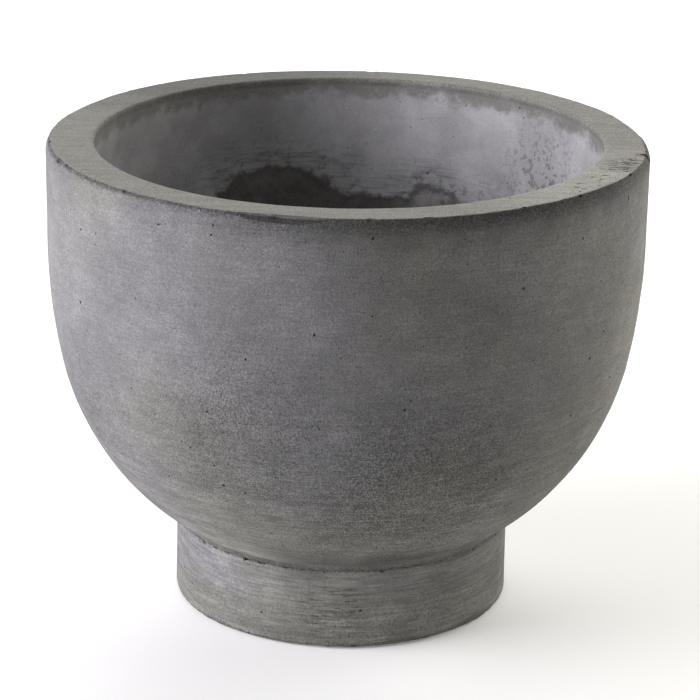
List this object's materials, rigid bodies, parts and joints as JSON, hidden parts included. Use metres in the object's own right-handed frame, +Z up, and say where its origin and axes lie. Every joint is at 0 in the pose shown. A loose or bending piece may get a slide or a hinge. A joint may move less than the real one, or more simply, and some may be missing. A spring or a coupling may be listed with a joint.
{
  "type": "planter",
  "caption": "Round concrete bowl planter on a short pedestal foot, with a thick flat rim, a lined drain hole and a lift-out rubber stopper.",
  "frame": {"origin": "on the floor, under the middle of the foot", "axes": "+Z up along the planter's axis; X and Y are alike, with a dowel on each and a floor pad between each two"},
  "size_m": [0.4, 0.4, 0.32],
  "materials": {
    "bowl_concrete": "matte",
    "foot_concrete": "matte",
    "mortar": "matte",
    "sleeve_plastic": "satin",
    "stopper_rubber": "matte",
    "dowel_steel": "matte",
    "pad_rubber": "matte"
  },
  "bodies": {
    "planter": {"bowl": "bowl_concrete", "foot": "foot_concrete", "mortar_bed": "mortar", "drain_sleeve": "sleeve_plastic", "dowel_1": "dowel_steel", "dowel_2": "dowel_steel", "dowel_3": "dowel_steel", "dowel_4": "dowel_steel", "floor_pad_1": "pad_rubber", "floor_pad_2": "pad_rubber", "floor_pad_3": "pad_rubber", "floor_pad_4": "pad_rubber"},
    "stopper": {"drain_plug": "stopper_rubber"}
  },
  "joints": [
    {"name": "stopper_lift", "type": "slide", "parent": "planter", "child": "stopper", "axis": [0, 0, 1], "range_m": [0, 0.27]}
  ]
}
